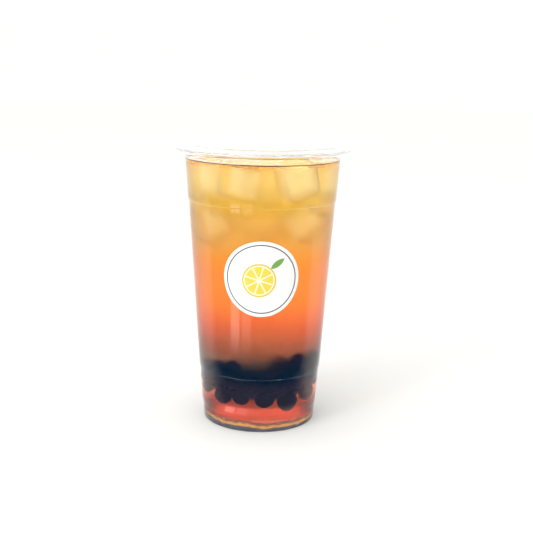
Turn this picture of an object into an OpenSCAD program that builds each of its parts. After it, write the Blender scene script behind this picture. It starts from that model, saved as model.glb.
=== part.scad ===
// Bubble tea: a clear tapered plastic cup with a flat press-on lid, filled with
// iced fruit tea over a heap of tapioca pearls, with a round sticker in front.
// Millimetres. Origin: the middle of the foot, on the table. +Z is up.
// The sticker faces -Y.

/* [Cup] */
// height of the cup, table to the top of the rolled rim
cup_h = 159.6; // [130:0.1:190]
// outside diameter of the wall right under the rim
mouth_d = 88.6; // [82:0.1:98]
// outside diameter of the wall at the table
foot_d = 65.2; // [56:0.1:76]
// width of the rolled rim, from the wall's inside to the roll's outside
roll_w = 3.7; // [2.6:0.1:5]
// thickness of the plastic sheet
wall = 0.5; // [0.4:0.05:0.8]
// how far the wall steps out at each stacking ledge
ledge = 0.4; // [0.2:0.05:0.8]
// height of each stacking ledge
ledge_h = 0.6; // [0.4:0.1:1.2]
// height of the ledge round the heel
heel_z = 9.3; // [7.5:0.1:12]
// height of the lower stacking ledge
low_z = 31.5; // [24:0.5:45]
// distance of the upper stacking ledge below the top of the rim
high_drop = 30.6; // [20:0.1:45]
// end angle of the rim's roll, seen in section
roll_end = -115; // [-120:1:-60]

/* [Base] */
// width of the flat ring that the cup stands on
foot_w = 2.6; // [2:0.1:4]
// height of the break between the gutter and the raised floor's side
gutter_z = 5.3; // [4:0.1:7]
// height of the raised floor's flat top, inside the cup
punt_z = 13; // [10:0.1:16]
// radial distance from the wall at the foot to the raised floor's flat top
punt_in = 8.6; // [6:0.1:12]

/* [Lid] */
// how far the lid's lip stands out past the rolled rim
lip_out = 2.1; // [1:0.1:4]
// thickness of the lid's sheet
lid_t = 0.4; // [0.3:0.05:0.6]
// height of the lid's panel above the top of the rim
panel_up = 0.9; // [0.4:0.1:2]
// depth of the groove inside the rim, below the top of the rim
groove_down = 0.7; // [0.2:0.1:1.4]
// diameter of the raised round in the middle of the lid
boss_d = 41; // [24:1:60]
// how far the raised round stands above the panel
boss_up = 0.6; // [0.3:0.1:1.5]
// length of each of the two crossed straw slits
slit_l = 13; // [8:0.5:20]
// width of each slit
slit_w = 0.5; // [0.3:0.1:1]

/* [Contents] */
// distance of the drink's surface below the top of the rim
fill_drop = 7.6; // [5:0.1:40]
// diameter of one tapioca pearl
pearl_d = 9.6; // [8:0.1:11]
// gap between the outer pearls and the cup's wall
pearl_gap = 0.4; // [0.2:0.1:1.5]
// gap between one layer of pearls and the next
layer_gap = 1.2; // [0.2:0.1:3]
// height of the heap's closed core above the middles of the second layer
core_up = 6.1; // [2:0.1:9]

/* [Sticker] */
// diameter of the round sticker
label_d = 42.5; // [30:0.5:55]
// height of the sticker's middle
label_z = 90.6; // [70:0.1:105]
// thickness of the sticker
label_t = 0.15; // [0.1:0.05:0.3]
// sideways distance of the sticker's middle from the cup's axis
label_x = 0.5; // [-3:0.1:3]

/* [Hidden] */
$fn = 180;

foot_r = foot_d / 2;
// the roll: its outside radius and the middle of its section
inner_mouth_r = mouth_d / 2 - wall;
roll_r = roll_w / 2;
roll_c = [inner_mouth_r + roll_r, cup_h - roll_r];
roll_step = 15;
// the wall: one straight taper, with three ledges that step out going up
high_z = cup_h - high_drop;
slope = (mouth_d / 2 - foot_r - 3 * ledge) / roll_c[1];
foot_edge = 0.4;
lip_r = roll_c[0] + roll_r + lip_out;
// contents
fill_z = cup_h - fill_drop;
pearl_r = pearl_d / 2;
big = 200;

// outside radius of the wall at height z, above n ledges
function wall_r(z, n) = foot_r + slope * z + n * ledge;
// number of ledges under height z
function ledges(z) = (z > heel_z ? 1 : 0) + (z > low_z ? 1 : 0) + (z > high_z ? 1 : 0);
// a point of an arc round the roll's middle
function on_roll(radius, angle) = roll_c + radius * [cos(angle), sin(angle)];

// the wall's line from the foot up to height top, moved in by inset
function ledge_pair(z, n, inset) =
    [[wall_r(z, n) - inset, z], [wall_r(z + ledge_h, n + 1) - inset, z + ledge_h]];
function wall_line(inset) = concat(
    ledge_pair(heel_z, 0, inset), ledge_pair(low_z, 1, inset), ledge_pair(high_z, 2, inset));

// the raised floor's line from the gutter to the middle, at the drink's side
gutter_r = foot_r - foot_w + wall;
punt_r = foot_r - punt_in;
floor_line = [
    [wall_r(wall, 0) - wall, wall],
    [gutter_r, wall],
    [gutter_r - 0.9, gutter_z],
    [punt_r + 0.9, punt_z - 1],
    [punt_r, punt_z],
    [0, punt_z]
];
// the same line at the table's side, one sheet away
under_line = [
    [foot_r - foot_w, 0],
    [gutter_r - 0.9 - wall, gutter_z],
    [punt_r + 0.9 - wall, punt_z - 1 - wall / 2],
    [punt_r - wall / 2, punt_z - wall],
    [0, punt_z - wall]
];

module cup_section() {
    polygon(concat(
        [[foot_r - foot_edge, 0], [wall_r(foot_edge, 0), foot_edge]],
        wall_line(0),
        [for (a = [180 : -roll_step : roll_end]) on_roll(roll_r - wall, a)],
        [on_roll(roll_r - wall, roll_end), on_roll(roll_r, roll_end)],
        [for (a = [180 - roll_step * floor((180 - roll_end) / roll_step) : roll_step : 180])
            on_roll(roll_r, a)],
        [for (i = [5 : -1 : 0]) wall_line(wall)[i]],
        floor_line,
        [for (i = [4 : -1 : 0]) under_line[i]]
    ));
}

// clear plastic cup with a rolled rim, three ledges and a raised floor
module cup() {
    color([0.93, 0.95, 0.95, 0.35]) rotate_extrude() cup_section();
}

// levels of the lid
panel_z = cup_h + panel_up;
boss_z = panel_z + boss_up;
groove_z = cup_h - groove_down;
groove_r = inner_mouth_r - lid_t - 1.2;
lip_angle = asin(lid_t / (roll_r + lid_t));

module lid_section() {
    polygon(concat(
        [[0, boss_z], [boss_d / 2, boss_z], [boss_d / 2 + 0.8, panel_z]],
        [[groove_r - 0.8, panel_z], [groove_r, groove_z], [inner_mouth_r - lid_t + 0.15, groove_z]],
        [for (a = [150 : -roll_step : 30]) on_roll(roll_r + lid_t, a)],
        [on_roll(roll_r + lid_t, lip_angle), [lip_r, roll_c[1] + lid_t], [lip_r, roll_c[1]]],
        [for (a = [0 : roll_step : 165]) on_roll(roll_r, a)],
        [[on_roll(roll_r, 165)[0], groove_z - lid_t], [groove_r - 0.3, groove_z - lid_t]],
        [[groove_r - 1.1, panel_z - lid_t], [boss_d / 2 + 0.5, panel_z - lid_t]],
        [[boss_d / 2 - 0.3, boss_z - lid_t], [0, boss_z - lid_t]]
    ));
}

// flat clear lid that hooks over the roll, with a slit cross for the straw
module lid() {
    color([0.97, 0.98, 0.98, 0.4]) difference() {
        rotate_extrude() lid_section();
        for (a = [0, 90]) rotate([0, 0, a])
            translate([-slit_l / 2, -slit_w / 2, panel_z - 2]) cube([slit_l, slit_w, 4]);
    }
}

// the outer pearls lie in rings that follow the wall
function ring_r(z) = wall_r(z, ledges(z)) - wall - pearl_gap - pearl_r;
function ring_n(radius) = floor(360 / (2 * asin(pearl_r * 1.06 / radius)));
first_z = punt_z + pearl_r - 0.7;

// n pearls evenly round a ring, from angle a0, with the gap spans left out
module pearl_ring(radius, z, n, a0) {
    for (i = [0 : n - 1]) rotate([0, 0, a0 + i * 360 / n])
        translate([radius, 0, z]) sphere(r = pearl_r, $fn = 48);
}

// a row of pearls along part of a ring
module pearl_arc(radius, z, a0, n) {
    step = 360 / ring_n(radius);
    for (i = [0 : n - 1]) rotate([0, 0, a0 + i * step])
        translate([radius, 0, z]) sphere(r = pearl_r, $fn = 48);
}

// the heap's shape: a core with pearls standing out of it all round and on top
module heap() {
    core_r = ring_r(first_z) - 2;
    second_z = first_z + pearl_d + layer_gap;
    third_z = second_z + pearl_d + layer_gap;
    top_z = second_z + core_up;
    rotate_extrude() polygon([
        [0, punt_z], [punt_r - 1, punt_z], [core_r, punt_z + 2], [core_r, third_z - 1.7],
        [core_r - 4, third_z - 1.7], [core_r - 9, top_z], [0, top_z]
    ]);
    pearl_ring(ring_r(first_z), first_z, ring_n(ring_r(first_z)), 4);
    pearl_ring(ring_r(second_z), second_z, ring_n(ring_r(second_z)), 13);
    // higher to the right and to the left
    pearl_arc(ring_r(third_z), third_z, -75, 7);
    pearl_arc(ring_r(third_z), third_z, 150, 5);
    // the rest of the top
    pearl_ring(core_r - 12, top_z + 1, ring_n(core_r - 12), 7);
}

// tapioca pearls, lying on the raised floor
module pearls() {
    color([0.12, 0.13, 0.17]) heap();
}

// the drink, which fills the cup up to its surface, round the pearls
module drink() {
    full = len([for (p = wall_line(wall)) if (p[1] < fill_z) p]);
    color([0.93, 0.6, 0.3, 0.85]) difference() {
        rotate_extrude() polygon(concat(
            [for (i = [5 : -1 : 0]) floor_line[i]],
            [for (i = [0 : full - 1]) wall_line(wall)[i]],
            [[wall_r(fill_z, ledges(fill_z)) - wall, fill_z], [0, fill_z]]
        ));
        heap();
    }
}

// round paper sticker on the wall
module label() {
    n = ledges(label_z);
    z0 = label_z - label_d / 2 - 1;
    z1 = label_z + label_d / 2 + 1;
    color([1, 1, 1]) intersection() {
        rotate_extrude() polygon([
            [wall_r(z0, n), z0], [wall_r(z0, n) + label_t, z0],
            [wall_r(z1, n) + label_t, z1], [wall_r(z1, n), z1]
        ]);
        translate([label_x, 0, label_z]) rotate([90, 0, 0]) cylinder(d = label_d, h = big);
    }
}

cup();
lid();
drink();
pearls();
label();
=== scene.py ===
import math
import random

import bmesh
import bpy
import numpy as np
from mathutils import Matrix, Vector


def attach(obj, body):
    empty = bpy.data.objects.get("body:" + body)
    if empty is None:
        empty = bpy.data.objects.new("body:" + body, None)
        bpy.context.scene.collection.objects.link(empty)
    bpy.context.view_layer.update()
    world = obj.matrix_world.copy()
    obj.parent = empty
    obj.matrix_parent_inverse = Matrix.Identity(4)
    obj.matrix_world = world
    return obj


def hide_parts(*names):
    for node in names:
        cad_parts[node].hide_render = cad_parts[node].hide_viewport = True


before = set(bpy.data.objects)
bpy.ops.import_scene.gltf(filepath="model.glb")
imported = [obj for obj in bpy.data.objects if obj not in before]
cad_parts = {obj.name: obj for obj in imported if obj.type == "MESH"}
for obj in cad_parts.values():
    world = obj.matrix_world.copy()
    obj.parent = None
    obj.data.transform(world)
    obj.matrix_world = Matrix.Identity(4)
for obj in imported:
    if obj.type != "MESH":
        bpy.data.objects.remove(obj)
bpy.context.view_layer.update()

MM = 0.001
TAU = math.tau

# ---------------------------------------------------------------- sizes
CUP_H = 159.6
MOUTH_R = 44.3
FOOT_R = 32.6
WALL = 0.5
# each ledge steps out by LEDGE over a rise of LEDGE_H, at these three heights
LEDGE = 0.4
LEDGE_H = 0.6
HEEL_Z = 9.3
LOW_Z = 31.5
HIGH_Z = 129.0
# the rolled rim: its outside radius, and the angle in degrees at which the curl ends
ROLL_R = 1.85
ROLL_END = -115
# the foot ring's width, the top of the gutter inside it, and the raised floor
FOOT_W = 2.6
GUTTER_Z = 5.3
PUNT_Z = 13.0
PUNT_R = 24.0
LID_T = 0.4
LIP_OUT = 2.1
# level of the tea
FILL_Z = 152.0
LABEL_R = 21.25
LABEL_Z = 90.6
LABEL_X = 0.5
LABEL_T = 0.15

ROLL_C = (MOUTH_R - WALL + ROLL_R, CUP_H - ROLL_R)
SLOPE = (MOUTH_R - FOOT_R - 3 * LEDGE) / ROLL_C[1]
AROUND = 256


def wall_r(z, steps):
    """Outside radius at height z, with that many ledges below it."""
    return FOOT_R + SLOPE * z + steps * LEDGE


def ledge_count(z):
    return sum(z > level for level in (HEEL_Z, LOW_Z, HIGH_Z))


def inner_r(z):
    """Inside radius of the wall at height z."""
    return wall_r(z, ledge_count(z)) - WALL


def on_roll(radius, degrees):
    """A point on a circle round the middle of the rolled rim."""
    a = math.radians(degrees)
    return (ROLL_C[0] + radius * math.cos(a), ROLL_C[1] + radius * math.sin(a))


def wall_line(inset, top):
    """The wall's line from the foot to height top, softened at the ledges."""
    line = []
    for steps, z in enumerate((HEEL_Z, LOW_Z, HIGH_Z)):
        for part in (0.0, 0.25, 0.5, 0.75, 1.0):
            rise = (1 - math.cos(math.pi * part)) / 2
            level = z + part * LEDGE_H
            line.append((wall_r(level, steps) + rise * LEDGE - inset, level))
    line = [p for p in line if p[1] < top]
    line.append((wall_r(top, ledge_count(top)) - inset, top))
    return line


def fill_in(line, step):
    """The same line with extra points, so that no span is longer than step."""
    out = [line[0]]
    for a, b in zip(line, line[1:]):
        parts = max(1, math.ceil(math.dist(a, b) / step))
        start, span = np.array(a), np.array(b) - np.array(a)
        out += [tuple(start + span * k / parts) for k in range(1, parts + 1)]
    return out


# ---------------------------------------------------------------- mesh making
def new_piece(name, bm, smooth=35, keep_normals=False):
    """A mesh object from a bmesh in millimetres."""
    bmesh.ops.scale(bm, vec=(MM, MM, MM), verts=bm.verts)
    if not keep_normals:
        bmesh.ops.recalc_face_normals(bm, faces=bm.faces)
    mesh = bpy.data.meshes.new(name)
    bm.to_mesh(mesh)
    bm.free()
    mesh.shade_smooth()
    if smooth:
        mesh.set_sharp_from_angle(angle=math.radians(smooth))
    piece = bpy.data.objects.new(name, mesh)
    bpy.context.scene.collection.objects.link(piece)
    return piece


def lathe(line, around=AROUND, closed=False, shape=None):
    """A turned bmesh. shape(r, z, angle) may move a point off the true circle."""
    bm = bmesh.new()
    rings = []
    for r, z in line:
        if r < 1e-6:
            rings.append([bm.verts.new((0, 0, z))])
            continue
        ring = []
        for k in range(around):
            a = TAU * k / around
            rr, zz = shape(r, z, a) if shape else (r, z)
            ring.append(bm.verts.new((rr * math.cos(a), rr * math.sin(a), zz)))
        rings.append(ring)
    pairs = list(zip(rings, rings[1:]))
    if closed:
        pairs.append((rings[-1], rings[0]))
    for low, high in pairs:
        for k in range(around):
            n = (k + 1) % around
            if len(low) == 1 and len(high) == 1:
                continue
            if len(low) == 1:
                bm.faces.new((low[0], high[n], high[k]))
            elif len(high) == 1:
                bm.faces.new((low[k], low[n], high[0]))
            else:
                bm.faces.new((low[k], low[n], high[n], high[k]))
    return bm


# ---------------------------------------------------------------- shader helpers
def new_material(name):
    mat = bpy.data.materials.new(name)
    mat.use_nodes = True
    tree = mat.node_tree
    return mat, tree, tree.nodes["Principled BSDF"]


def node(tree, kind, x=0, y=0, **values):
    made = tree.nodes.new(kind)
    made.location = (x, y)
    for key, value in values.items():
        if hasattr(made, key):
            setattr(made, key, value)
        else:
            made.inputs[key].default_value = value
    return made


def ramp(tree, stops, x=0, y=0):
    made = node(tree, "ShaderNodeValToRGB", x, y)
    band = made.color_ramp
    while len(band.elements) > 1:
        band.elements.remove(band.elements[-1])
    band.elements[0].position, band.elements[0].color = stops[0][0], (*stops[0][1], 1)
    for place, colour in stops[1:]:
        band.elements.new(place).color = (*colour, 1)
    return made


def math_node(tree, operation, a, b=None, c=None):
    """A sum on numbers or sockets, as an output socket."""
    made = node(tree, "ShaderNodeMath", operation=operation)
    for k, value in enumerate((a, b, c)):
        if value is None:
            continue
        if isinstance(value, (int, float)):
            made.inputs[k].default_value = value
        else:
            tree.links.new(value, made.inputs[k])
    return made.outputs["Value"]


def mix_colour(tree, mask, under, over):
    """over where mask is 1, under where it is 0."""
    made = node(tree, "ShaderNodeMix", data_type="RGBA")
    tree.links.new(mask, made.inputs["Factor"])
    if isinstance(under, tuple):
        made.inputs["A"].default_value = (*under, 1)
    else:
        tree.links.new(under, made.inputs["A"])
    made.inputs["B"].default_value = (*over, 1)
    return made.outputs["Result"]


def fade(tree, value, start, end):
    """0 where value is at start, 1 where it is at end, straight in between."""
    made = node(tree, "ShaderNodeMapRange")
    made.inputs["From Min"].default_value = start
    made.inputs["From Max"].default_value = end
    tree.links.new(value, made.inputs["Value"])
    return made.outputs["Result"]


def object_place(tree):
    """The point's own x, y and z in metres, and its distance from the axis."""
    where = node(tree, "ShaderNodeTexCoord")
    split = node(tree, "ShaderNodeSeparateXYZ")
    tree.links.new(where.outputs["Object"], split.inputs["Vector"])
    x, y, z = (split.outputs[k] for k in "XYZ")
    square = math_node(tree, "MULTIPLY_ADD", x, x, math_node(tree, "MULTIPLY", y, y))
    return x, y, z, math_node(tree, "SQRT", square)


def surface_noise_group():
    """Slow waves and fine grain: Height for a bump, Rough for a roughness, Mask for a mix."""
    group = bpy.data.node_groups.new("surface_noise", "ShaderNodeTree")
    face = group.interface
    for name, value in (("Wave Scale", 60.0), ("Grain Scale", 900.0), ("Grain Share", 0.3),
                        ("Rough Low", 0.1), ("Rough High", 0.2)):
        face.new_socket(name=name, in_out="INPUT", socket_type="NodeSocketFloat").default_value = value
    for name in ("Height", "Rough", "Mask"):
        face.new_socket(name=name, in_out="OUTPUT", socket_type="NodeSocketFloat")
    ends_in = group.nodes.new("NodeGroupInput")
    ends_out = group.nodes.new("NodeGroupOutput")
    where = group.nodes.new("ShaderNodeTexCoord")
    wave = node(group, "ShaderNodeTexNoise", 200, 200, Detail=3.0)
    grain = node(group, "ShaderNodeTexNoise", 200, -100, Detail=2.0)
    blend = node(group, "ShaderNodeMix", 400, 100)
    spread = node(group, "ShaderNodeMapRange", 600, -100)
    link = group.links.new
    link(where.outputs["Object"], wave.inputs["Vector"])
    link(where.outputs["Object"], grain.inputs["Vector"])
    link(ends_in.outputs["Wave Scale"], wave.inputs["Scale"])
    link(ends_in.outputs["Grain Scale"], grain.inputs["Scale"])
    link(ends_in.outputs["Grain Share"], blend.inputs["Factor"])
    link(wave.outputs["Fac"], blend.inputs["A"])
    link(grain.outputs["Fac"], blend.inputs["B"])
    link(wave.outputs["Fac"], spread.inputs["Value"])
    spread.inputs["From Min"].default_value = 0.3
    spread.inputs["From Max"].default_value = 0.7
    link(ends_in.outputs["Rough Low"], spread.inputs["To Min"])
    link(ends_in.outputs["Rough High"], spread.inputs["To Max"])
    link(blend.outputs["Result"], ends_out.inputs["Height"])
    link(spread.outputs["Result"], ends_out.inputs["Rough"])
    link(wave.outputs["Fac"], ends_out.inputs["Mask"])
    return group


SURFACE_NOISE = surface_noise_group()


def add_noise(tree, shader, strength, distance, rough=None, wave=60.0, grain=900.0, share=0.3):
    """Feeds the shared noise to a shader's normal and, if rough is given, its roughness."""
    noise = node(tree, "ShaderNodeGroup", -600, -300)
    noise.node_tree = SURFACE_NOISE
    noise.inputs["Wave Scale"].default_value = wave
    noise.inputs["Grain Scale"].default_value = grain
    noise.inputs["Grain Share"].default_value = share
    bump = node(tree, "ShaderNodeBump", -250, -300, Strength=strength, Distance=distance)
    tree.links.new(noise.outputs["Height"], bump.inputs["Height"])
    tree.links.new(bump.outputs["Normal"], shader.inputs["Normal"])
    if rough:
        noise.inputs["Rough Low"].default_value = rough[0]
        noise.inputs["Rough High"].default_value = rough[1]
        tree.links.new(noise.outputs["Rough"], shader.inputs["Roughness"])
    return noise


def uneven_height(tree, z, scale, detail, most):
    """The height z with a noise added that moves it by up to most millimetres."""
    where = node(tree, "ShaderNodeTexCoord")
    noise = node(tree, "ShaderNodeTexNoise", Scale=scale, Detail=detail)
    sway = node(tree, "ShaderNodeMapRange")
    sway.inputs["To Min"].default_value = -most * MM
    sway.inputs["To Max"].default_value = most * MM
    tree.links.new(where.outputs["Object"], noise.inputs["Vector"])
    tree.links.new(noise.outputs["Fac"], sway.inputs["Value"])
    return math_node(tree, "ADD", z, sway.outputs["Result"])


def height_ramp(tree, share, top, stops):
    """Colour by height: stops are (height in mm, colour), and share is the height over top."""
    band = ramp(tree, [(z / top, colour) for z, colour in stops])
    tree.links.new(share, band.inputs["Fac"])
    return band.outputs["Color"]


# ---------------------------------------------------------------- materials
def clear_plastic(name, tint, rough, wave, clear=1.0):
    mat, tree, shader = new_material(name)
    shader.inputs["Base Color"].default_value = (*tint, 1)
    shader.inputs["Transmission Weight"].default_value = clear
    shader.inputs["IOR"].default_value = 1.46
    add_noise(tree, shader, 0.12, 0.0004, rough=rough, wave=wave, grain=700.0, share=0.15)
    return mat


# the tea's colour at each height in mm, from the foot to the top; low down it also holds painted shade and
# painted light
TEA_COLOUR_AND_PAINTED_LIGHT = [
    # foot ring: painted shade in the fold of the plastic
    (0, (0.07, 0.1, 0.17)), (2.3, (0.1, 0.12, 0.18)),
    # arc in the gutter: painted light shining up through the thin tea there
    (2.9, (0.95, 0.54, 0.18)), (4.1, (0.92, 0.45, 0.14)),
    # its dark edge: painted shade
    (4.7, (0.26, 0.1, 0.1)), (5.4, (0.31, 0.105, 0.09)),
    # clear red tea under the pearls, its brightness partly painted backlight
    (6.2, (1.0, 0.25, 0.16)), (12, (0.92, 0.3, 0.23)), (18, (0.97, 0.35, 0.29)),
    (26, (1.0, 0.36, 0.34)),
    # pearls: painted shade round them
    (31, (0.17, 0.18, 0.26)), (37, (0.22, 0.17, 0.24)),
    # darker tea over them, darkest next to the pearls
    (42, (0.34, 0.145, 0.17)), (46, (0.5, 0.105, 0.105)), (51, (0.72, 0.13, 0.105)),
    (56, (0.94, 0.2, 0.14)),
    # red tea
    (64, (1.0, 0.3, 0.165)), (76, (1.0, 0.37, 0.13)), (84, (0.98, 0.365, 0.16)),
    # orange tea
    (92, (0.97, 0.37, 0.15)), (100, (0.87, 0.43, 0.12)), (108, (0.8, 0.54, 0.27)),
    (118, (0.79, 0.49, 0.185)), (126, (0.81, 0.56, 0.19)),
    # golden tea
    (134, (0.92, 0.74, 0.27)), (142, (0.87, 0.69, 0.3)), (150, (0.91, 0.7, 0.33)),
    # meniscus
    (152, (0.9, 0.5, 0.22)),
]

# how cloudy the tea looks at each height
TEA_BLUR = [
    (0, 0.08), (24, 0.10), (34, 0.24), (46, 0.30), (66, 0.28),
    (90, 0.26), (120, 0.26), (134, 0.22), (154, 0.12),
]
# the height at which both lists end
TEA_TOP = 154
# below this height the drink has no hollows, so all of its surface is wall or floor
HOLLOWS_FROM = 104


def outer_mask(tree):
    """1 on the drink's wall and floor, 0 on its top and on the hollows round the ice."""
    _, _, z, reach = object_place(tree)
    line = math_node(tree, "MULTIPLY_ADD", z, SLOPE, (FOOT_R - WALL + 0.45) * MM)
    at_wall = math_node(tree, "GREATER_THAN", reach, line)
    return math_node(tree, "MAXIMUM", at_wall, math_node(tree, "LESS_THAN", z, HOLLOWS_FROM * MM))


# pale patches painted on the wall: partly the clear ice near it, partly painted backlight through it, only
# roughly over the cubes:
# angle from the front, height, half width, half height, lean, share
PALE = [
    (28, 145, 11.0, 9.5, 0.25, 1.0),
    (-13, 143.5, 7.5, 7.0, -0.2, 0.8),
    (-41, 145, 7.5, 8.0, 0.1, 0.7),
    (33, 122.5, 11.0, 9.0, 0.5, 0.4),
    (-38, 121, 8.0, 8.0, 0.4, 0.35),
    (62, 143, 8.0, 8.0, -0.2, 0.4),
    (-80, 141, 9.0, 9.0, 0.2, 0.5),
    (95, 138, 9.0, 9.0, 0.1, 0.5),
    (140, 143, 9.0, 9.0, 0.3, 0.5),
    (-135, 142, 10.0, 9.0, 0.1, 0.5),
]
# the wall's radius at the ice, which turns an angle into a width
PALE_R = 42.0
# the darker red patch low in front: angle in radians, height, half angle, half height, share
DARK_PATCH = (-0.05, 75.0, 0.32, 17.0, 0.3)


def soft_box_group():
    """A soft-edged leaning box on the wall, from the angle and height given in the inputs."""
    group = bpy.data.node_groups.new("soft_box", "ShaderNodeTree")
    names = ("Angle", "Height", "Middle", "Level", "Half Width", "Half Height", "Lean", "Share")
    for name in names:
        group.interface.new_socket(name=name, in_out="INPUT", socket_type="NodeSocketFloat")
    group.interface.new_socket(name="Mask", in_out="OUTPUT", socket_type="NodeSocketFloat")
    given = group.nodes.new("NodeGroupInput").outputs
    u = math_node(group, "MULTIPLY", math_node(group, "SUBTRACT", given["Angle"], given["Middle"]), PALE_R)
    v = math_node(group, "SUBTRACT", given["Height"], given["Level"])
    across = math_node(group, "MULTIPLY_ADD", v, given["Lean"], u)
    along = math_node(group, "SUBTRACT", v, math_node(group, "MULTIPLY", u, given["Lean"]))
    far = math_node(group, "MAXIMUM",
                    math_node(group, "DIVIDE", math_node(group, "ABSOLUTE", across), given["Half Width"]),
                    math_node(group, "DIVIDE", math_node(group, "ABSOLUTE", along), given["Half Height"]))
    soft = node(group, "ShaderNodeMapRange", interpolation_type="SMOOTHSTEP")
    soft.inputs["From Min"].default_value = 1.35
    soft.inputs["From Max"].default_value = 0.55
    group.links.new(far, soft.inputs["Value"])
    mask = math_node(group, "MULTIPLY", soft.outputs["Result"], given["Share"])
    group.links.new(mask, group.nodes.new("NodeGroupOutput").inputs["Mask"])
    return group


def pale_mask(tree):
    """How much of each point is painted pale for the ice and the backlight through it, and how much lies in
    the darker red patch low in front.
    """
    box = soft_box_group()
    x, y, z, _ = object_place(tree)
    angle = math_node(tree, "ARCTAN2", x, math_node(tree, "MULTIPLY", y, -1.0))
    height = math_node(tree, "MULTIPLY", z, 1 / MM)
    total = None
    for degrees, *rest in PALE:
        made = node(tree, "ShaderNodeGroup")
        made.node_tree = box
        tree.links.new(angle, made.inputs["Angle"])
        tree.links.new(height, made.inputs["Height"])
        made.inputs["Middle"].default_value = math.radians(degrees)
        for name, value in zip(("Level", "Half Width", "Half Height", "Lean", "Share"), rest):
            made.inputs[name].default_value = value
        mask = made.outputs["Mask"]
        total = mask if total is None else math_node(tree, "MAXIMUM", total, mask)
    turn, level, half_turn, half_height, share = DARK_PATCH
    u = math_node(tree, "DIVIDE", math_node(tree, "SUBTRACT", angle, turn), half_turn)
    v = math_node(tree, "DIVIDE", math_node(tree, "SUBTRACT", height, level), half_height)
    far = math_node(tree, "MULTIPLY_ADD", u, u, math_node(tree, "MULTIPLY", v, v))
    return total, math_node(tree, "MULTIPLY", fade(tree, far, 1.06, 0.9), share)


def tea_material():
    mat, tree, shader = new_material("tea")
    link = tree.links.new
    outer = outer_mask(tree)
    _, _, z, reach = object_place(tree)
    swayed = uneven_height(tree, uneven_height(tree, z, 26.0, 2.0, 3.0), 330.0, 3.0, 1.4)
    share = fade(tree, swayed, 0.0, TEA_TOP * MM)
    # the colour belongs to the wall: the top and the hollows stay clear
    pale, dark_patch = pale_mask(tree)
    # the height colours carry painted shade and painted light low on the cup
    colour = mix_colour(tree, dark_patch, height_ramp(tree, share, TEA_TOP, TEA_COLOUR_AND_PAINTED_LIGHT), (0.92, 0.20, 0.12))
    # painted pale patches: partly the clear ice near the wall, partly painted backlight through it
    colour = mix_colour(tree, pale, colour, (1.0, 1.0, 0.96))
    tint = node(tree, "ShaderNodeMix", data_type="RGBA")
    tint.inputs["A"].default_value = (1, 1, 1, 1)
    link(outer, tint.inputs["Factor"])
    link(colour, tint.inputs["B"])
    link(tint.outputs["Result"], shader.inputs["Base Color"])
    shader.inputs["Transmission Weight"].default_value = 1.0
    shader.inputs["IOR"].default_value = 1.333
    shader.inputs["Specular Tint"].default_value = (0, 0, 0, 1)
    add_noise(tree, shader, 0.05, 0.0005, wave=40.0, grain=300.0, share=0.1)
    # cloudy along the wall, cloudier on the raised floor, a little so on the hollows, clear on top
    blur = height_ramp(tree, share, TEA_TOP, [(level, (v, v, v)) for level, v in TEA_BLUR])
    raised = math_node(tree, "MULTIPLY", math_node(tree, "LESS_THAN", reach, (PUNT_R + 0.5) * MM),
                       math_node(tree, "LESS_THAN", z, (PUNT_Z + 1) * MM))
    still = math_node(tree, "MULTIPLY", math_node(tree, "LESS_THAN", z, (FILL_Z - 1.2) * MM), 0.13)
    cloudy = math_node(tree, "MULTIPLY_ADD", blur, outer, math_node(tree, "ADD", still, 0.03))
    link(math_node(tree, "MULTIPLY_ADD", raised, 0.7, cloudy), shader.inputs["Roughness"])
    # painted glow on the top: emission that stands for daylight scattered up through the top
    top = fade(tree, z, (FILL_Z - 0.95) * MM, (FILL_Z - 0.7) * MM)
    lit = math_node(tree, "MULTIPLY", top, math_node(tree, "SUBTRACT", 1.0, outer))
    glow = mix_colour(tree, lit, (0.0, 0.0, 0.0), (0.34, 0.19, 0.055))
    link(glow, shader.inputs["Emission Color"])
    shader.inputs["Emission Strength"].default_value = 1.0
    depth = node(tree, "ShaderNodeVolumeAbsorption", 0, -500, Density=20.0)
    depth.inputs["Color"].default_value = (0.95, 0.767, 0.167, 1)
    link(depth.outputs["Volume"], tree.nodes["Material Output"].inputs["Volume"])
    return mat


def pearl_material():
    mat, tree, shader = new_material("tapioca")
    shader.inputs["IOR"].default_value = 1.25
    shader.inputs["Specular IOR Level"].default_value = 0.1
    noise = add_noise(tree, shader, 0.25, 0.0006, rough=(0.30, 0.45), wave=260.0, grain=1200.0, share=0.25)
    tone = ramp(tree, [(0.35, (0.003, 0.005, 0.009)), (0.65, (0.007, 0.010, 0.015))], -350, 200)
    tree.links.new(noise.outputs["Mask"], tone.inputs["Fac"])
    tree.links.new(tone.outputs["Color"], shader.inputs["Base Color"])
    # painted cool sheen: a faint blue glow on the pearls
    shader.inputs["Emission Color"].default_value = (0.38, 0.58, 1.0, 1)
    shader.inputs["Emission Strength"].default_value = 0.045
    return mat


def ice_material():
    mat, tree, shader = new_material("ice")
    noise = add_noise(tree, shader, 0.35, 0.001, rough=(0.20, 0.32), wave=90.0, grain=420.0, share=0.35)
    tone = ramp(tree, [(0.35, (0.99, 0.96, 0.86)), (0.65, (1.0, 0.985, 0.92))], -350, 200)
    tree.links.new(noise.outputs["Mask"], tone.inputs["Fac"])
    tree.links.new(tone.outputs["Color"], shader.inputs["Base Color"])
    shader.inputs["Transmission Weight"].default_value = 1.0
    shader.inputs["IOR"].default_value = 1.326
    shader.inputs["Specular Tint"].default_value = (0, 0, 0, 1)
    # painted warm glow: a faint emission in the ice
    shader.inputs["Emission Color"].default_value = (1.0, 0.76, 0.38, 1)
    shader.inputs["Emission Strength"].default_value = 0.05
    return mat


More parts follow.
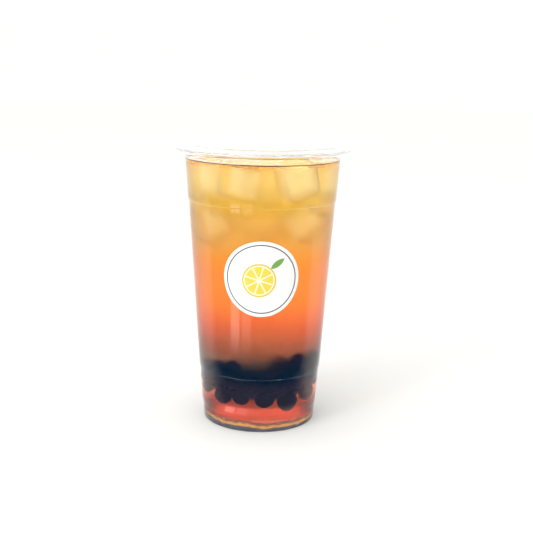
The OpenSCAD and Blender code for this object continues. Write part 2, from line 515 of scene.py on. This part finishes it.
def sticker_material():
    """White paper with a thin grey ring and a plain slice of lemon. The UV map is in millimetres."""
    mat, tree, shader = new_material("sticker")
    link = tree.links.new
    spot = node(tree, "ShaderNodeUVMap")
    split = node(tree, "ShaderNodeSeparateXYZ")
    link(spot.outputs["UV"], split.inputs["Vector"])
    x, y = split.outputs["X"], split.outputs["Y"]

    def distance(cx, cy, sx=1.0, sy=1.0):
        dx = math_node(tree, "MULTIPLY", math_node(tree, "SUBTRACT", x, cx), sx)
        dy = math_node(tree, "MULTIPLY", math_node(tree, "SUBTRACT", y, cy), sy)
        square = math_node(tree, "MULTIPLY_ADD", dx, dx, math_node(tree, "MULTIPLY", dy, dy))
        return math_node(tree, "SQRT", square), dx, dy

    def soft_below(value, edge, blur=0.12):
        made = node(tree, "ShaderNodeMapRange", interpolation_type="SMOOTHSTEP")
        link(value, made.inputs["Value"])
        made.inputs["From Min"].default_value = edge + blur
        made.inputs["From Max"].default_value = edge - blur
        return made.outputs["Result"]

    def band(value, middle, half, blur=0.12):
        off = math_node(tree, "ABSOLUTE", math_node(tree, "SUBTRACT", value, middle))
        return soft_below(off, half, blur)

    colour = (0.83, 0.83, 0.825)
    from_middle, _, _ = distance(0.0, 0.0)
    colour = mix_colour(tree, band(from_middle, 19.1, 0.3), colour, (0.05, 0.055, 0.07))
    # the slice: rind, pith, flesh in eight wedges
    r, dx, dy = distance(-1.2, -0.6)
    colour = mix_colour(tree, soft_below(r, 9.4), colour, (0.78, 0.50, 0.04))
    colour = mix_colour(tree, soft_below(r, 8.5), colour, (0.90, 0.86, 0.62))
    angle = math_node(tree, "ARCTAN2", dy, dx)
    wedge = math_node(tree, "PINGPONG", math_node(tree, "ADD", angle, 0.3), TAU / 16)
    from_gap = math_node(tree, "MULTIPLY", math_node(tree, "SINE", wedge), r)
    clear_of_gap = math_node(tree, "SUBTRACT", 1.0, soft_below(from_gap, 0.38))
    flesh = math_node(tree, "MULTIPLY", soft_below(r, 7.8), clear_of_gap)
    colour = mix_colour(tree, flesh, colour, (0.82, 0.60, 0.07))
    # a leaf to its upper right: where two circles overlap
    one, _, _ = distance(5.0, 13.4)
    two, _, _ = distance(12.2, 4.4)
    leaf = math_node(tree, "MULTIPLY", soft_below(one, 7.4), soft_below(two, 7.4))
    colour = mix_colour(tree, leaf, colour, (0.16, 0.36, 0.07))
    link(colour, shader.inputs["Base Color"])
    add_noise(tree, shader, 0.08, 0.0002, rough=(0.35, 0.5), wave=120.0, grain=2500.0, share=0.6)
    return mat


# strips of painted window light on the floor that the cup mirrors: angle from the front, half width, power
WINDOW_STRIPS = ((-0.71, 0.15, 2.6), (-0.38, 0.15, 1.3))


def floor_material():
    """A pale plain floor. Mirrored in the cup, or seen through it, its front is darker, like a room's:
    painted shade and painted reflection, and it carries painted light as emission.
    """
    mat, tree, shader = new_material("floor")
    link = tree.links.new
    noise = add_noise(tree, shader, 0.02, 0.0005, rough=(0.6, 0.8), wave=8.0, grain=400.0, share=0.3)
    tone = ramp(tree, [(0.3, (0.90, 0.90, 0.885)), (0.7, (0.915, 0.915, 0.90))], -350, 200)
    link(noise.outputs["Mask"], tone.inputs["Fac"])
    x, y, _, reach = object_place(tree)
    path = node(tree, "ShaderNodeLightPath")
    through, mirrored = path.outputs["Is Transmission Ray"], path.outputs["Is Glossy Ray"]
    front = math_node(tree, "MULTIPLY", fade(tree, y, 0.0, -0.04), fade(tree, reach, 0.050, 0.064))
    dim = math_node(tree, "MULTIPLY", math_node(tree, "MAXIMUM", through, mirrored), front)
    dim = math_node(tree, "MULTIPLY", dim, fade(tree, reach, 0.60, 0.32))
    # painted shade and painted reflection: darker and warm through the cup; in a mirror image cool near the
    # cup, grey farther off
    cool = node(tree, "ShaderNodeMix", data_type="RGBA")
    cool.inputs["A"].default_value = (0.30, 0.28, 0.25, 1)
    cool.inputs["B"].default_value = (0.13, 0.27, 0.44, 1)
    link(fade(tree, reach, 0.24, 0.17), cool.inputs["Factor"])
    shade = node(tree, "ShaderNodeMix", data_type="RGBA")
    shade.inputs["A"].default_value = (0.58, 0.40, 0.24, 1)
    link(cool.outputs["Result"], shade.inputs["B"])
    link(mirrored, shade.inputs["Factor"])
    blend = node(tree, "ShaderNodeMix", data_type="RGBA")
    link(dim, blend.inputs["Factor"])
    link(tone.outputs["Color"], blend.inputs["A"])
    link(shade.outputs["Result"], blend.inputs["B"])
    link(blend.outputs["Result"], shader.inputs["Base Color"])
    # painted light as emission: light caught under the cup and behind it, seen only through it, with a faint
    # glow over the whole floor
    under = math_node(tree, "MULTIPLY", through, fade(tree, reach, 0.036, 0.031))
    behind = math_node(tree, "MULTIPLY_ADD", math_node(tree, "SUBTRACT", through, dim), 0.3, 0.02)
    light = math_node(tree, "MULTIPLY_ADD", under, 0.35, behind)
    # painted reflection: window light as emission on the floor, mirrored low on the cup
    far_patch = math_node(tree, "MULTIPLY", fade(tree, reach, 0.13, 0.18), fade(tree, reach, 0.33, 0.25))
    near_patch = math_node(tree, "MULTIPLY", fade(tree, reach, 0.042, 0.045), fade(tree, reach, 0.058, 0.054))
    patch = math_node(tree, "MULTIPLY", math_node(tree, "MAXIMUM", far_patch, near_patch), mirrored)
    side = math_node(tree, "ARCTAN2", x, math_node(tree, "MULTIPLY", y, -1.0))
    for middle, half, power in WINDOW_STRIPS:
        off = math_node(tree, "ABSOLUTE", math_node(tree, "SUBTRACT", side, middle))
        strip = math_node(tree, "MULTIPLY", fade(tree, off, half, half * 0.75), power)
        light = math_node(tree, "MULTIPLY_ADD", strip, patch, light)
    shader.inputs["Emission Color"].default_value = (1.0, 0.98, 0.95, 1)
    link(light, shader.inputs["Emission Strength"])
    shader.inputs["Specular IOR Level"].default_value = 0.2
    return mat


CUP_PLASTIC = clear_plastic("cup_plastic", (0.985, 0.99, 0.99), (0.02, 0.05), 45.0)
LID_PLASTIC = clear_plastic("lid_plastic", (0.985, 0.98, 0.96), (0.06, 0.12), 70.0, clear=0.82)
TEA = tea_material()
TAPIOCA = pearl_material()
ICE = ice_material()
STICKER = sticker_material()


def finish_piece(piece, material, slot, *nodes):
    piece.data.materials.append(material)
    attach(piece, "root")
    if nodes:
        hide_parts(*nodes)


# ---------------------------------------------------------------- cup
GUTTER_R = FOOT_R - FOOT_W + WALL
# the inside and the underside of the floor, from the wall to the middle
FLOOR_LINE = [
    (wall_r(WALL, 0) - WALL, WALL), (GUTTER_R, WALL), (GUTTER_R - 0.9, GUTTER_Z),
    (PUNT_R + 0.9, PUNT_Z - 1), (PUNT_R, PUNT_Z),
]
UNDER_LINE = [
    (FOOT_R - FOOT_W, 0), (GUTTER_R - 0.9 - WALL, GUTTER_Z),
    (PUNT_R + 0.9 - WALL, PUNT_Z - 1 - WALL / 2), (PUNT_R - WALL / 2, PUNT_Z - WALL),
]
RIBS = 72
RIB_DEPTH = 0.10


def foot_ribs(r, z, a):
    """Fine crinkles low on the cup, which fade out at the heel."""
    if z > HEEL_Z or r < 20:
        return r, z
    share = 1 - z / HEEL_Z
    return r - RIB_DEPTH * share * (0.5 + 0.5 * math.sin(RIBS * a + math.sin(5 * a))), z


def make_cup():
    outside = [(FOOT_R - 0.4, 0), (wall_r(0.4, 0), 0.4)] + wall_line(0, ROLL_C[1])
    curl_in = [on_roll(ROLL_R - WALL, a) for a in range(180, ROLL_END - 1, -15)]
    curl_out = [on_roll(ROLL_R, a) for a in range(-105, 181, 15)]
    inside = wall_line(WALL, ROLL_C[1])[::-1]
    line = fill_in(outside, 6) + curl_in[1:] + curl_out + fill_in(inside, 6)[1:]
    line += fill_in(FLOOR_LINE, 3) + [(0, PUNT_Z), (0, PUNT_Z - WALL)] + fill_in(UNDER_LINE, 3)[::-1]
    bm = lathe(line, closed=True, shape=foot_ribs)
    piece = new_piece("cup_shell", bm, 50)
    finish_piece(piece, CUP_PLASTIC, "cup_plastic", "cup")


make_cup()

# ---------------------------------------------------------------- ice
# middle x, y, z, size, and the three turns in degrees
ICE_CUBES = [
    (18, -25, 144.0, (18, 17, 19), (12, -20, 30)),
    (-11, -24, 142.0, (17, 17, 18), (6, 8, 42)),
    (-31, -9, 142.0, (17, 17, 19), (10, -6, 15)),
    (22, -17, 119.0, (18, 18, 18), (30, 14, 62)),
    (3, 0, 142.5, (19, 19, 19), (20, 35, 10)),
    (29, 8, 141.0, (18, 18, 18), (-12, 20, 50)),
    (-18, 15, 142.0, (20, 19, 19), (25, -15, 70)),
    (9, 26, 143.0, (19, 18, 19), (10, 25, 20)),
    (-26, -10, 117.0, (18, 18, 17), (30, 20, 25)),
    (0, 14, 118.0, (20, 19, 19), (40, 10, 65)),
]
# how far each hollow in the drink lies inside its cube, and how far below the level it ends
CAVITY = 0.2
CAVITY_DOWN = 1.1


def ice_cube(x, y, z, size, turns, rng):
    """One uneven rounded cube as a bmesh, kept inside the cup."""
    bm = bmesh.new()
    bmesh.ops.create_cube(bm, size=1)
    for v in bm.verts:
        v.co *= 1 + rng.uniform(-0.07, 0.07)
    bmesh.ops.bevel(bm, geom=bm.edges[:], offset=0.13, segments=3, profile=0.6, affect="EDGES")
    bmesh.ops.subdivide_edges(bm, edges=bm.edges[:], cuts=1, use_grid_fill=True)
    about_x, about_y, about_z = (Matrix.Rotation(math.radians(t), 3, axis) for t, axis in zip(turns, "XYZ"))
    turn = about_z @ about_y @ about_x
    for v in bm.verts:
        p = Vector((v.co.x * size[0], v.co.y * size[1], v.co.z * size[2]))
        p += Vector([0.25 * math.sin(0.5 * p[k - 1] + k + x) for k in range(3)])
        v.co = turn @ p + Vector((x, y, z))
        limit = inner_r(min(v.co.z, FILL_Z)) - 0.8
        reach = math.hypot(v.co.x, v.co.y)
        if reach > limit:
            v.co.x *= limit / reach
            v.co.y *= limit / reach
        v.co.z = min(v.co.z, FILL_Z + 3.0)
    return bm


def ice_meshes():
    """Each cube as a mesh in millimetres, in a fixed order."""
    rng = random.Random(21)
    meshes = []
    for cube in ICE_CUBES:
        bm = ice_cube(*cube, rng)
        bm.normal_update()
        part = bpy.data.meshes.new("cube")
        bm.to_mesh(part)
        bm.free()
        meshes.append(part)
    return meshes


ICE_PARTS = ice_meshes()


def add_cavities(bm):
    """Hollows in the drink, a little inside each cube, so that the tea stops at the ice."""
    for part in ICE_PARTS:
        hollow = bmesh.new()
        hollow.from_mesh(part)
        hollow.normal_update()
        places = {v: v.co - v.normal * CAVITY for v in hollow.verts}
        for v, co in places.items():
            v.co = co
            v.co.z = min(co.z, FILL_Z - CAVITY_DOWN)
        bmesh.ops.reverse_faces(hollow, faces=hollow.faces)
        shell = bpy.data.meshes.new("hollow")
        hollow.to_mesh(shell)
        hollow.free()
        bm.from_mesh(shell)
        bpy.data.meshes.remove(shell)


def make_ice():
    whole = bmesh.new()
    for part in ICE_PARTS:
        whole.from_mesh(part)
    piece = new_piece("ice_cubes", whole, 0)
    finish_piece(piece, ICE, "tea")


make_ice()

# ---------------------------------------------------------------- drink
# how far the drink reaches into the plastic
REACH = 0.2


def make_drink():
    """The drink reaches a little into the plastic, so that no air shows between them."""
    rng = random.Random(4)
    waves = [(rng.uniform(0.05, 0.16), rng.uniform(0, TAU), rng.uniform(0, TAU), rng.uniform(0.08, 0.3))
             for _ in range(7)]
    side = [(r + REACH, z) for r, z in wall_line(WALL, FILL_Z)]
    low = [(r, z - REACH * 0.8) for r, z in FLOOR_LINE[:2]]
    low = [(low[0][0] + REACH, low[0][1]), (low[1][0] - REACH, low[1][1])]
    low += [(r - REACH, z - REACH / 2) for r, z in FLOOR_LINE[2:]]
    line = [(0, PUNT_Z - REACH)] + fill_in(low, 2)[::-1] + fill_in(side, 6)
    edge = side[-1][0]
    # the meniscus, then the level top
    line += [(edge, FILL_Z + 0.9), (edge - 0.35, FILL_Z + 0.55), (edge - 0.9, FILL_Z + 0.2)]
    flat = edge - 2
    line += [(flat - k * flat / 24, FILL_Z) for k in range(24)] + [(0, FILL_Z)]

    def shape(r, z, a):
        if z >= FILL_Z - 0.01:
            x, y = r * math.cos(a), r * math.sin(a)
            lift = sum(height * math.sin(often * (x * math.cos(way) + y * math.sin(way)) + phase)
                       for height, way, phase, often in waves)
            z += lift * min(1, (edge - r) / 4) if r < edge else 0
        return foot_ribs(r, z, a)

    bm = lathe(line, shape=shape)
    bmesh.ops.recalc_face_normals(bm, faces=bm.faces)
    add_cavities(bm)
    piece = new_piece("tea_body", bm, 60, keep_normals=True)
    finish_piece(piece, TEA, "tea", "drink")


make_drink()

# ---------------------------------------------------------------- pearls
# pearls that lie against the wall in front: angle from -Y towards +X, height of the middle, diameter
FRONT_PEARLS = [
    # the lowest row
    (-72, 22.0, 10.2), (-43, 20.0, 11.4), (-19, 20.4, 10.2),
    (6, 20.3, 11.8), (34, 17.4, 11.6), (64, 19.6, 11.0),
    # the highest ones, right and left
    (45, 39.5, 10.4), (68, 38.0, 10.2), (-46, 34.0, 10.2),
    (-27, 36.0, 9.8), (-68, 32.0, 9.6), (-20, 30.0, 9.6),
    # between them
    (-2, 31.0, 9.4), (17, 29.5, 9.6), (34, 28.5, 9.8),
    (54, 29.0, 10.0), (80, 27.5, 9.8), (-88, 27.0, 9.6),
]
# a second row behind the gaps of the lowest ones
BEHIND_PEARLS = [
    (-58, 22.6, 9.8), (-31, 22.2, 9.8), (-6, 22.4, 9.8),
    (20, 21.6, 9.8), (49, 21.8, 9.8), (78, 23.0, 9.6),
]
BEHIND_IN = 7.5
LOOSE_PEARLS = 76
# rounds of settling, and from which one on the heap sinks slowly
SETTLE_ROUNDS = 420
SLOW_FROM = 320


LUMP = 0.012


def pack_pearls():
    """Places for the pearls: those in front are nearly fixed, the rest settle round them."""
    rng = np.random.default_rng(11)
    fixed = []
    rows = [(degrees, z, d, inner_r(z - d / 2) - d / 2) for degrees, z, d in FRONT_PEARLS]
    rows += [(degrees, z, d, inner_r(z) - d / 2 - BEHIND_IN) for degrees, z, d in BEHIND_PEARLS]
    for degrees, z, d, r in rows:
        a = math.radians(degrees)
        fixed.append((r * math.sin(a), -r * math.cos(a), z, d / 2))
    fixed = np.array(fixed)
    angle = rng.uniform(0, TAU, LOOSE_PEARLS)
    reach = 30 * np.sqrt(rng.uniform(0.25, 1, LOOSE_PEARLS))
    height = rng.uniform(20, 56, LOOSE_PEARLS)
    radius = rng.uniform(4.5, 5.1, LOOSE_PEARLS)
    loose = np.stack([reach * np.cos(angle), reach * np.sin(angle), height, radius], 1)
    pearls = np.concatenate([fixed, loose])
    start = len(fixed)
    for step in range(SETTLE_ROUNDS):
        pearls[start:, 2] -= 0.12 if step < SLOW_FROM else 0.02
        for _ in range(2):
            gap = pearls[:, None, :3] - pearls[None, :, :3]
            away = np.linalg.norm(gap, axis=2) + np.eye(len(pearls)) * 99
            need = (pearls[:, None, 3] + pearls[None, :, 3]) * 0.985 - away
            push = 0.5 * (np.where(need > 0, need, 0)[:, :, None] * gap / away[:, :, None]).sum(1)
            pearls[start:, :3] += push[start:]
            pearls[:start, :3] += 0.3 * push[:start] + 0.3 * (fixed[:, :3] - pearls[:start, :3])
        # stay inside the wall, above the floor, and out of the clear space low in front
        r = np.hypot(pearls[:, 0], pearls[:, 1])
        most = np.array([inner_r(z - 5) for z in pearls[:, 2]]) - pearls[:, 3]
        scale = np.minimum(1, most / np.maximum(r, 1e-6))
        pearls[:, 0] *= scale
        pearls[:, 1] *= scale
        turn = np.degrees(np.arctan2(pearls[:, 0], -pearls[:, 1]))
        lowest = PUNT_Z + pearls[:, 3] + np.where(r > PUNT_R, 1.6 * np.sin(np.radians(turn * 4)), 0)
        lowest = np.where((np.abs(turn) < 125) & (r > 10), 19.5, lowest)
        lowest = np.where(r > 20, np.where(np.abs(turn) < 125, 25.5, 23.0), lowest)
        highest = np.where(np.abs(turn) < 95, 32.0, 25.5) - 2 * np.clip(1 - r / 26, 0, 1)
        highest += np.where((turn > 25) & (turn < 90), 5.0, 0)
        pearls[start:, 2] = np.clip(pearls[start:, 2], lowest[start:], np.maximum(highest, lowest)[start:])
    return pearls


def make_pearls():
    """The loose pearls, each a little lumpy and flattened, round a plain core that they hide."""
    rng = random.Random(8)
    bm = bmesh.new()
    for x, y, z, radius in pack_pearls():
        made = bmesh.ops.create_icosphere(bm, subdivisions=3, radius=1)["verts"]
        spin = rng.uniform(0, TAU)
        axis = Vector([rng.gauss(0, 1) for _ in range(3)]).normalized()
        turn = Matrix.Rotation(spin, 3, axis)
        squash = (rng.uniform(0.95, 1.03), rng.uniform(0.96, 1.03), rng.uniform(0.93, 1.0))
        phase = [rng.uniform(0, TAU) for _ in range(3)]
        for v in made:
            p = v.co.copy()
            p *= 1 + LUMP * sum(math.sin((5 + k) * p[k] + phase[k]) for k in range(3))
            p = Vector((p.x * squash[0], p.y * squash[1], p.z * squash[2]))
            v.co = turn @ p * radius + Vector((x, y, z))
    piece = new_piece("pearls_loose", bm, 0)
    finish_piece(piece, TAPIOCA, "tapioca", "pearls")
    core = [(0, PUNT_Z + 0.1), (9, PUNT_Z + 0.3), (12, PUNT_Z + 3)]
    core += [(18, 21), (18, 25), (14, 28), (8, 29), (0, 29.2)]

    def lumpy(r, z, a):
        return r * (1 + 0.05 * math.sin(9 * a) * math.sin(z)), z + 0.5 * math.sin(7 * a + r)

    piece = new_piece("pearls_core", lathe(fill_in(core, 2), 96, shape=lumpy), 0)
    finish_piece(piece, TAPIOCA, "tapioca", "pearls")


make_pearls()

# ---------------------------------------------------------------- lid
PANEL_Z = CUP_H + 0.9
BOSS_Z = PANEL_Z + 0.6
GROOVE_Z = CUP_H - 0.7
BOSS_R = 20.5
SLIT_L = 13.0
SLIT_W = 0.5
LID_SMOOTH = 40


def cut_slits(piece):
    """Cuts the two crossed straw slits through the boss."""
    a, b = SLIT_L / 2, SLIT_W / 2
    quarter = [(a, -b), (a, b), (b, b)]
    outline = []
    for _ in range(4):
        outline += quarter
        quarter = [(-y, x) for x, y in quarter]
    bm = bmesh.new()
    low, high = ([bm.verts.new((x, y, z)) for x, y in outline] for z in (PANEL_Z - 2, BOSS_Z + 2))
    bm.faces.new(low[::-1])
    bm.faces.new(high)
    for k in range(len(outline)):
        n = (k + 1) % len(outline)
        bm.faces.new((low[k], low[n], high[n], high[k]))
    cutter = new_piece("slits", bm, 0)
    cut = piece.modifiers.new("slits", "BOOLEAN")
    cut.operation = "DIFFERENCE"
    cut.solver = "EXACT"
    cut.object = cutter
    graph = bpy.context.evaluated_depsgraph_get()
    result = bpy.data.meshes.new_from_object(piece.evaluated_get(graph))
    piece.modifiers.clear()
    piece.data = result
    result.shade_smooth()
    result.set_sharp_from_angle(angle=math.radians(LID_SMOOTH))
    bpy.data.meshes.remove(cutter.data)


def make_lid():
    rim_in = MOUTH_R - WALL
    groove_r = rim_in - LID_T - 1.2
    # over the lid from the middle to the lip, then back underneath
    top = [(0, BOSS_Z), (BOSS_R, BOSS_Z), (BOSS_R + 0.8, PANEL_Z), (groove_r - 0.8, PANEL_Z),
           (groove_r, GROOVE_Z), (rim_in - LID_T + 0.15, GROOVE_Z)]
    top += [on_roll(ROLL_R + LID_T, a) for a in range(150, 11, -10)]
    lip = MOUTH_R - WALL + 2 * ROLL_R + LIP_OUT
    top += [(lip - 0.15, ROLL_C[1] + LID_T), (lip, ROLL_C[1] + LID_T / 2), (lip - 0.15, ROLL_C[1])]
    under = [on_roll(ROLL_R + 0.02, a) for a in range(0, 166, 10)]
    under += [(rim_in + 0.05, GROOVE_Z - LID_T), (groove_r - 0.3, GROOVE_Z - LID_T),
              (groove_r - 1.1, PANEL_Z - LID_T), (BOSS_R + 0.5, PANEL_Z - LID_T),
              (BOSS_R - 0.3, BOSS_Z - LID_T), (0, BOSS_Z - LID_T)]

    def shape(r, z, a):
        """A slight warp of the panel."""
        if r >= 41:
            return r, z
        return r, z + 0.12 * math.sin(2 * a + 0.6) * (1 - min(1, abs(r - 30) / 14))

    bm = lathe(fill_in(top, 4) + fill_in(under, 4), shape=shape)
    piece = new_piece("lid_shell", bm, LID_SMOOTH)
    cut_slits(piece)
    finish_piece(piece, LID_PLASTIC, "lid_plastic", "lid")


make_lid()

# ---------------------------------------------------------------- sticker
def make_label():
    """A thin disc that follows the cup's cone, with a UV map in millimetres from its middle."""
    rings, spokes = 24, 96
    bm = bmesh.new()
    uv_layer = bm.loops.layers.uv.new("label_mm")
    steps = ledge_count(LABEL_Z)

    def place(u, v, lift):
        z = LABEL_Z + v
        r = wall_r(z, steps) + lift
        a = (u + LABEL_X) / wall_r(LABEL_Z, steps)
        return bm.verts.new((r * math.sin(a), -r * math.cos(a), z))

    flat = {}

    def skin(lift):
        centre = place(0, 0, lift)
        flat[centre] = (0, 0)
        made = [[centre]]
        for k in range(1, rings + 1):
            ring = []
            for s in range(spokes):
                r = LABEL_R * k / rings
                u, v = r * math.cos(TAU * s / spokes), r * math.sin(TAU * s / spokes)
                ring.append(place(u, v, lift))
                flat[ring[-1]] = (u, v)
            made.append(ring)
        return made

    front, back = skin(LABEL_T), skin(0.04)
    for made in (front, back):
        for s in range(spokes):
            n = (s + 1) % spokes
            bm.faces.new((made[0][0], made[1][s], made[1][n]))
            for low, high in zip(made[1:], made[2:]):
                bm.faces.new((low[s], high[s], high[n], low[n]))
    for s in range(spokes):
        n = (s + 1) % spokes
        bm.faces.new((front[-1][s], back[-1][s], back[-1][n], front[-1][n]))
    for face in bm.faces:
        for loop in face.loops:
            loop[uv_layer].uv = flat[loop.vert]
    piece = new_piece("label_disc", bm, 40)
    finish_piece(piece, STICKER, "sticker", "label")


make_label()

# ---------------------------------------------------------------- stage
def make_floor():
    bm = bmesh.new()
    bmesh.ops.create_grid(bm, x_segments=8, y_segments=8, size=4000)
    floor = new_piece("floor", bm, 0)
    floor.data.materials.append(floor_material())


make_floor()


def area_light(name, place, target, size, power, colour=(1, 1, 1)):
    data = bpy.data.lights.new(name, "AREA")
    data.shape = "RECTANGLE"
    data.size, data.size_y = size
    data.energy = power
    data.color = colour
    light = bpy.data.objects.new(name, data)
    bpy.context.scene.collection.objects.link(light)
    light.location = place
    light.rotation_euler = (Vector(target) - Vector(place)).to_track_quat("-Z", "Y").to_euler()
    return light


DAYLIGHT = (1.0, 0.98, 0.96)
area_light("window_left", (-0.68, -0.80, 0.45), (0, 0, 0.08), (0.16, 0.9), 1.6, DAYLIGHT)
area_light("window_right", (-0.40, -0.98, 0.45), (0, 0, 0.08), (0.14, 0.9), 0.9, DAYLIGHT)
area_light("overhead", (-0.5, -0.2, 1.4), (0, 0, 0), (1.2, 1.2), 2.0)
# a soft key from the left, kept out of mirrored light
area_light("key", (-1.05, -0.95, 1.0), (0, 0, 0.05), (0.7, 0.7), 6.0).visible_glossy = False


def make_world():
    """White all round; seen in reflections or through the cup, the front is dimmer and the back brighter."""
    world = bpy.data.worlds.new("studio")
    bpy.context.scene.world = world
    world.use_nodes = True
    tree = world.node_tree
    link = tree.links.new
    where = node(tree, "ShaderNodeTexCoord")
    split = node(tree, "ShaderNodeSeparateXYZ")
    link(where.outputs["Generated"], split.inputs["Vector"])
    # from the front to the back
    band = ramp(tree, [(0.0, (0.80, 0.77, 0.72)), (0.6, (0.90, 0.88, 0.84)),
                       (0.9, (1.2, 1.2, 1.19)), (1.0, (1.34, 1.34, 1.33))])
    link(fade(tree, split.outputs["Y"], -0.9, 0.0), band.inputs["Fac"])
    path = node(tree, "ShaderNodeLightPath")
    bent = math_node(tree, "MAXIMUM", path.outputs["Is Transmission Ray"], path.outputs["Is Glossy Ray"])
    pick = node(tree, "ShaderNodeMix", data_type="RGBA")
    pick.inputs["A"].default_value = (1.03, 1.02, 1.0, 1)
    link(bent, pick.inputs["Factor"])
    # brighter overhead
    upper = math_node(tree, "MULTIPLY_ADD", fade(tree, split.outputs["Z"], 0.05, 0.5), 0.3, 1.0)
    lift = node(tree, "ShaderNodeVectorMath", operation="SCALE")
    link(band.outputs["Color"], lift.inputs[0])
    link(upper, lift.inputs["Scale"])
    link(lift.outputs["Vector"], pick.inputs["B"])
    link(pick.outputs["Result"], tree.nodes["Background"].inputs["Color"])


make_world()

# ---------------------------------------------------------------- camera
VIEW_PITCH = 12.11
VIEW_ROLL = 1.04
SENSOR_W = 36
LENS_TO_SENSOR = 962 / 533
camera_data = bpy.data.cameras.new("camera")
camera_data.sensor_width = SENSOR_W
camera_data.lens = SENSOR_W * LENS_TO_SENSOR
camera_data.clip_end = 50
camera = bpy.data.objects.new("camera", camera_data)
bpy.context.scene.collection.objects.link(camera)
camera.location = (0.00319, -0.54717, 0.20691)
pitch = Matrix.Rotation(math.radians(90 - VIEW_PITCH), 4, "X")
roll = Matrix.Rotation(math.radians(VIEW_ROLL), 4, "Z")
camera.rotation_euler = (pitch @ roll).to_euler()
scene = bpy.context.scene
scene.camera = camera
scene.view_settings.view_transform = "Standard"
scene.cycles.max_bounces = 32
scene.cycles.transmission_bounces = 28
scene.cycles.glossy_bounces = 8
scene.cycles.diffuse_bounces = 5
